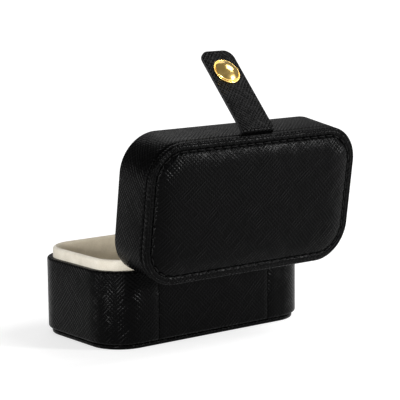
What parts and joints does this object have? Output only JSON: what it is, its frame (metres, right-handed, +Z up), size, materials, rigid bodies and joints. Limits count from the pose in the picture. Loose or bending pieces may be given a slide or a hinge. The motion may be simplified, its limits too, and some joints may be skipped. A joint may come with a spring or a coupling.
{
  "type": "ring display box",
  "caption": "Rectangular leather-covered box with rounded corners, a rear-hinged padded lid, a raised suede collar, ring rolls in the tray and a strap with a gold snap.",
  "frame": {"origin": "centre of the base's footprint on the surface it stands on", "axes": "+X along the long side, +Y from the snap side to the hinge side, +Z up; the lid is open as it rests"},
  "size_m": [0.11, 0.0941, 0.1243],
  "materials": {
    "black_leather": "black cross-grain leather, semi-matt, with a fine diagonal embossing",
    "cream_suede": "cream suede cloth, matt with a short nap",
    "gold_brass": "polished gold-plated snap metal",
    "black_thread": "twisted black sewing thread",
    "black_card": "black dyed card at the bottom of the grooves",
    "board": "dense grey-brown board, covered on all sides",
    "padding": "thin foam wadding"
  },
  "bodies": {
    "base": {"base_core": "board", "base_wall_leather": "black_leather", "base_hinge_panel": "black_leather", "base_spacer": "black_card", "foot_board": "board", "foot_leather": "black_leather", "collar_board": "board", "collar_lining": "cream_suede", "tray_floor": "cream_suede", "ring_roll_1": "cream_suede", "ring_roll_2": "cream_suede", "ring_roll_3": "cream_suede", "snap_stud": "gold_brass", "stud_rivet": "gold_brass", "hinge_leather": "black_leather", "hinge_lining": "black_leather"},
    "lid": {"lid_core": "board", "lid_wall_leather": "black_leather", "lid_hinge_panel": "black_leather", "lid_spacer": "black_card", "lid_panel_board": "board", "lid_padding": "padding", "lid_panel_leather": "black_leather", "lid_stitches": "black_thread", "lid_lining": "cream_suede", "lid_inner_pad": "cream_suede", "strap_root": "black_leather"},
    "strap": {"strap_leather": "black_leather", "strap_backing": "black_leather", "snap_cap": "gold_brass", "snap_socket": "gold_brass"}
  },
  "joints": [
    {"name": "lid_hinge", "type": "hinge", "parent": "base", "child": "lid", "pos_m": [0, 0.0308, 0.034], "axis": [1, 0, 0], "range_deg": [0, 98.6], "deforming": ["hinge_leather", "hinge_lining"]},
    {"name": "strap_bend", "type": "hinge", "parent": "lid", "child": "strap", "pos_m": [0, 0.05958, 0.09255], "axis": [1, 0, 0], "range_deg": [-51.7, 35.68]}
  ]
}
